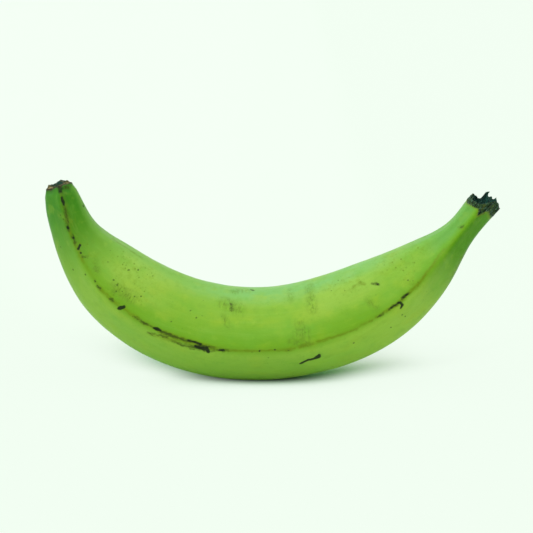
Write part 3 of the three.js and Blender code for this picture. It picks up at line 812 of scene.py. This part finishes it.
# ---- blossom end: dried scar, olive-brown with tan crumbs, teal-black behind, and a burnt rim
scar_a = mottle(place, 2.0, 3.0, 0.6, 11)
scar_b = mottle(place, 0.8, 3.0, 0.65, 12)
dry = mix(ramp(scar_a, 0.36, 0.62), lin(28, 42, 22), lin(98, 96, 52))
tan = highest([times(ramp(W, -0.6, -3.0), ramp(V, 0.5, 2.6)), times(ramp(W, 1.0, 3.6), 0.5)])
dry = mix(times(tan, ramp(scar_b, 0.46, 0.60), 0.8), dry, lin(168, 152, 104))
dry = mix(times(ramp(V, 2.2, -1.4), ramp(W, 5.4, 1.6), ramp(scar_a, 0.68, 0.40, 0.55, 1.0), 0.95), dry, lin(4, 56, 44))
dry = mix(times(ramp(scar_b, 0.47, 0.32), 0.85), dry, lin(14, 24, 10))
scar_in = calc("ADD", scar, calc("MULTIPLY", calc("SUBTRACT", scar_b, 0.5), 2.2))
dry = mix(times(ramp(scar_in, 2.1, 0.6), 0.85), dry, lin(30, 30, 12))
ground = mix(times(ramp(scar_in, -2.4, 0.1), 0.6), ground, lin(40, 84, 16))
ground = mix(ramp(scar_in, -0.4, 0.4), ground, dry)

# ---- torn stem: green-black fibres, teal inside, with pale flecks and olive edges
fibre_long = mottle(place, (6.0, 0.55, 0.55), 3.0, 0.7, 13)
fleck = mottle(place, (1.4, 0.6, 0.6), 3.0, 0.7, 14)
dark = mix(ramp(fibre_long, 0.38, 0.62), lin(3, 22, 14), lin(44, 76, 34))
dark = mix(times(ramp(mottle(place, (3.0, 1.4, 1.4), 2.0, 0.5, 15), 0.50, 0.64), ramp(fibre_long, 0.42, 0.58), 0.75), dark, lin(84, 96, 34))
dark = mix(times(ramp(mottle(place, (2.4, 1.5, 1.5), 3.0, 0.6, 40), 0.50, 0.64), ramp(fibre_long, 0.36, 0.56), 0.7), dark, lin(78, 118, 98))
dark = mix(times(ramp(fleck, 0.56, 0.70), 0.85), dark, lin(132, 162, 132))
dark = mix(times(ramp(fibre_long, 0.42, 0.30), 0.8), dark, lin(2, 16, 10))
inside = mix(ramp(fibre_long, 0.36, 0.66), lin(1, 20, 18), lin(14, 78, 66))
inside = mix(times(ramp(fleck, 0.56, 0.70), 0.6), inside, lin(76, 126, 108))
dark = mix(times(hollow, 0.9), dark, inside)
past = calc("ADD", torn, calc("MULTIPLY", calc("SUBTRACT", mottle(place, (3.2, 0.8, 0.8), 3.0, 0.65, 16), 0.5), 3.2))
ground = mix(times(ramp(past, -2.6, -0.2), 0.55), ground, lin(120, 140, 30))
ground = mix(highest([ramp(past, -0.9, 0.5), hollow]), ground, dark)

# ---- relief and gloss
black_wear, smear_wear, scuff_wear = ramp(black_away, 0.4, -0.2), ramp(smear_away, 0.4, -0.3), ramp(scuff_away, 0.3, -0.2)
lumps = calc("MULTIPLY", calc("SUBTRACT", mottle(place, (2.2, 1.6, 1.6), 2.0, 0.5, 20), 0.5), 0.05)
streaks = calc("MULTIPLY", calc("SUBTRACT", mottle(place, (26, 1.5, 1.5), 3.0, 0.6, 3), 0.5), 0.06)
tiny = calc("MULTIPLY", calc("SUBTRACT", mottle(place, 0.32, 2.0, 0.6, 21), 0.5), 0.022)
crust = calc("MULTIPLY", highest([black_wear, times(smear_wear, 0.5)]), calc("MULTIPLY", calc("SUBTRACT", mottle(place, (1.6, 0.7, 0.7), 3.0, 0.65, 10), 0.5), 0.2))
skin_relief = calc("ADD", calc("ADD", lumps, streaks), calc("ADD", tiny, crust))
raw = highest([ramp(scar_in, -0.1, 0.4), ramp(past, -0.2, 0.5)])
raw_relief = calc("MULTIPLY", calc("SUBTRACT", mottle(place, (1.3, 0.5, 0.5), 4.0, 0.7, 22), 0.5), 0.5)
height = calc("ADD", calc("MULTIPLY", skin_relief, calc("SUBTRACT", 1.0, raw)), times(raw, raw_relief))
bump = node("ShaderNodeBump")
bump.inputs["Strength"].default_value = 1.0
bump.inputs["Distance"].default_value = 0.001
put(bump.inputs["Height"], height)
gloss = ramp(mottle(place, (9, 4, 4), 3.0, 0.6, 23), 0.35, 0.70, 0.40, 0.52)
gloss = calc("ADD", gloss, times(highest([black_wear, smear_wear, scuff_wear]), 0.16))
gloss = calc("ADD", gloss, times(raw, 0.28), clamp=True)

shader = node("ShaderNodeBsdfPrincipled")
put(shader.inputs["Base Color"], ground)
put(shader.inputs["Roughness"], gloss)
put(shader.inputs["Normal"], bump.outputs["Normal"])
shader.inputs["Specular IOR Level"].default_value = 0.22
shader.inputs["IOR"].default_value = 1.45
shader.inputs["Sheen Weight"].default_value = 0.0
shader.inputs["Sheen Roughness"].default_value = 0.4
out_node = node("ShaderNodeOutputMaterial")
tree.links.new(shader.outputs[0], out_node.inputs["Surface"])
plantain.data.materials.append(material)

# ---------------------------------------------------------------- stage: pale floor, soft light, camera
floor_mesh = bpy.data.meshes.new("floor")
R = 7.0
floor_mesh.from_pydata([(R * math.cos(x), R * math.sin(x), 0.0) for x in np.linspace(0, 2 * math.pi, 96, endpoint=False)], [], [tuple(range(96))])
floor = bpy.data.objects.new("floor", floor_mesh)
bpy.context.scene.collection.objects.link(floor)
floor_mat = bpy.data.materials.new("pale_floor")
floor_mat.use_nodes = True
ft = floor_mat.node_tree
ft.nodes.clear()
PALE = lin(242, 254, 242)
FLOOR_ALBEDO = 0.80


def floor_node(kind, inputs=(), **settings):
    n = ft.nodes.new(kind)
    for key, item in settings.items():
        setattr(n, key, item)
    for key, item in inputs:
        if isinstance(item, bpy.types.NodeSocket):
            ft.links.new(item, n.inputs[key])
        else:
            n.inputs[key].default_value = item
    return n


def floor_ramp(x, low, high, a, b):
    return floor_node("ShaderNodeMapRange", (("Value", x), ("From Min", low), ("From Max", high), ("To Min", a), ("To Max", b)), interpolation_type="SMOOTHSTEP").outputs["Result"]


def floor_calc(operation, a, b, c=0.0):
    return floor_node("ShaderNodeMath", ((0, a), (1, b), (2, c)), operation=operation).outputs[0]


# Painted light and shade on the floor. For the camera the floor glows a little where it is open, and almost fully in
# front of the fruit, which paints out the shadow there. Close behind the fruit it doesn't glow, and a painted green
# shadow darkens it there.
spot = floor_node("ShaderNodeSeparateXYZ", (("Vector", floor_node("ShaderNodeTexCoord").outputs["Object"]),))
ground_x, ground_y = spot.outputs["X"], spot.outputs["Y"]
bent = floor_calc("POWER", floor_calc("ABSOLUTE", floor_calc("ADD", ground_x, 0.003), 0.0), 2.0)
front_edge = floor_calc("MULTIPLY_ADD", bent, floor_ramp(ground_x, -0.02, 0.02, 8.5, 6.5), -0.009)
wider = floor_calc("MULTIPLY_ADD", bent, 650.0, 1.0)
# painted light: in front of the fruit the floor glows almost fully for the camera, so hardly any shadow shows there
before = floor_ramp(floor_calc("DIVIDE", floor_calc("SUBTRACT", ground_y, front_edge), wider), 0.006, -0.006, 0.0, 1.0)
open_air = floor_node("ShaderNodeAmbientOcclusion", (("Distance", 0.055),), samples=12).outputs["AO"]
sides = floor_ramp(ground_x, 0.050, 0.085, 0.0, 1.0)
plain = floor_calc("MULTIPLY", floor_ramp(open_air, 0.36, 0.88, 0.0, 1.0), floor_calc("MULTIPLY_ADD", sides, 0.50, floor_ramp(ground_x, -0.045, 0.0, 0.12, 0.35)))
painted_glow = floor_calc("MAXIMUM", plain, floor_calc("MULTIPLY", floor_calc("MULTIPLY", before, 0.96), floor_ramp(open_air, 0.10, 0.40, 0.35, 1.0)))
full = (PALE[0] * FLOOR_ALBEDO, PALE[1] * FLOOR_ALBEDO, PALE[2] * FLOOR_ALBEDO, 1)
# painted shadow: where the fruit hems the floor in, the floor takes this darker green as its own colour, fully for the
# camera and partly for other light
shade = (full[0] * 0.44, full[1] * 0.78, full[2] * 0.43, 1)
path = floor_node("ShaderNodeLightPath")
open_share = floor_calc("MAXIMUM", floor_ramp(open_air, 0.22, 0.85, 0.0, 1.0), floor_calc("MULTIPLY_ADD", path.outputs["Is Camera Ray"], -0.65, 0.65))
painted_shade_tone = floor_node("ShaderNodeMix", ((0, open_share), (6, shade), (7, full)), data_type="RGBA")
# painted shadow: for the camera, a darker teal patch on the floor behind the fruit's left end
left_shade = floor_calc("MULTIPLY", floor_calc("MULTIPLY", floor_ramp(ground_x, -0.030, -0.055, 0.0, 1.0), floor_ramp(ground_x, -0.100, -0.066, 0.0, 1.0)), floor_calc("MULTIPLY", floor_ramp(ground_y, 0.080, 0.040, 0.0, 1.0), floor_calc("SUBTRACT", 1.0, before)))
left_shade = floor_calc("MULTIPLY", left_shade, floor_calc("MULTIPLY", path.outputs["Is Camera Ray"], floor_ramp(open_air, 1.0, 0.6, 0.25, 0.9)))
painted_shade_tone = floor_node("ShaderNodeMix", ((0, left_shade), (6, painted_shade_tone.outputs[2]), (7, (full[0] * 0.34, full[1] * 0.62, full[2] * 0.42, 1))), data_type="RGBA")
lit = floor_node("ShaderNodeBsdfDiffuse", (("Color", painted_shade_tone.outputs[2]),))
glow = floor_node("ShaderNodeEmission", (("Color", PALE), ("Strength", 1.0)))
share = floor_calc("MULTIPLY", path.outputs["Is Camera Ray"], painted_glow)
both = floor_node("ShaderNodeMixShader", ((0, share), (1, lit.outputs[0]), (2, glow.outputs[0])))
fo = ft.nodes.new("ShaderNodeOutputMaterial")
ft.links.new(both.outputs[0], fo.inputs["Surface"])
floor_mesh.materials.append(floor_mat)
floor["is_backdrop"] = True

world = bpy.data.worlds.new("studio")
bpy.context.scene.world = world
world.use_nodes = True
wt = world.node_tree
wt.nodes.clear()
coords = wt.nodes.new("ShaderNodeTexCoord")
glow_sum = None
# Large soft lights: (azimuth from the camera's side towards +X, elevation, power, brightness)
for azimuth, elevation, power, bright in ((0, 60, 10, 3.22), (-90, 40, 6, 2.74), (90, 40, 6, 1.78), (180, 10, 6, 1.08)):
    a, e = math.radians(azimuth), math.radians(elevation)
    facing = wt.nodes.new("ShaderNodeVectorMath")
    facing.operation = "DOT_PRODUCT"
    facing.inputs[1].default_value = (math.sin(a) * math.cos(e), -math.cos(a) * math.cos(e), math.sin(e))
    wt.links.new(coords.outputs["Generated"], facing.inputs[0])
    ahead_only = wt.nodes.new("ShaderNodeMath")
    ahead_only.operation = "MAXIMUM"
    ahead_only.inputs[1].default_value = 0.0
    wt.links.new(facing.outputs["Value"], ahead_only.inputs[0])
    falloff = wt.nodes.new("ShaderNodeMath")
    falloff.operation = "POWER"
    falloff.inputs[1].default_value = power
    wt.links.new(ahead_only.outputs[0], falloff.inputs[0])
    total = wt.nodes.new("ShaderNodeMath")
    total.operation = "MULTIPLY_ADD"
    total.inputs[1].default_value = bright
    wt.links.new(falloff.outputs[0], total.inputs[0])
    if glow_sum is None:
        total.inputs[2].default_value = 0.02
    else:
        wt.links.new(glow_sum, total.inputs[2])
    glow_sum = total.outputs[0]
sky = wt.nodes.new("ShaderNodeBackground")
sky.inputs["Color"].default_value = (1, 1, 1, 1)
wt.links.new(glow_sum, sky.inputs["Strength"])
seen = wt.nodes.new("ShaderNodeBackground")
seen.inputs["Color"].default_value = PALE
seen.inputs["Strength"].default_value = 1.0
wpath = wt.nodes.new("ShaderNodeLightPath")
wmix = wt.nodes.new("ShaderNodeMixShader")
wt.links.new(wpath.outputs["Is Camera Ray"], wmix.inputs[0])
wt.links.new(sky.outputs[0], wmix.inputs[1])
wt.links.new(seen.outputs[0], wmix.inputs[2])
wo = wt.nodes.new("ShaderNodeOutputWorld")
wt.links.new(wmix.outputs[0], wo.inputs["Surface"])


camera_data = bpy.data.cameras.new("camera")
camera = bpy.data.objects.new("camera", camera_data)
bpy.context.scene.collection.objects.link(camera)
bpy.context.scene.camera = camera
camera_data.sensor_width = 36.0
camera_data.lens = 1700 * 36 / 533
camera_data.dof.use_dof = False
camera_data.clip_start, camera_data.clip_end = 0.01, 60.0
tilt = math.radians(15)
target = Vector((-2.3642, 0.1846, 58.6276 - 0.5178)) / 1000
camera.location = target + 0.850 * Vector((0, -math.cos(tilt), math.sin(tilt)))
camera.rotation_mode = "QUATERNION"
camera.rotation_quaternion = Vector((0, math.cos(tilt), -math.sin(tilt))).to_track_quat("-Z", "Y")

scene = bpy.context.scene
scene.view_settings.view_transform = "Standard"
scene.view_settings.look = "None"
scene.view_settings.exposure = 0.0
scene.view_settings.gamma = 1.0

low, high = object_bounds()
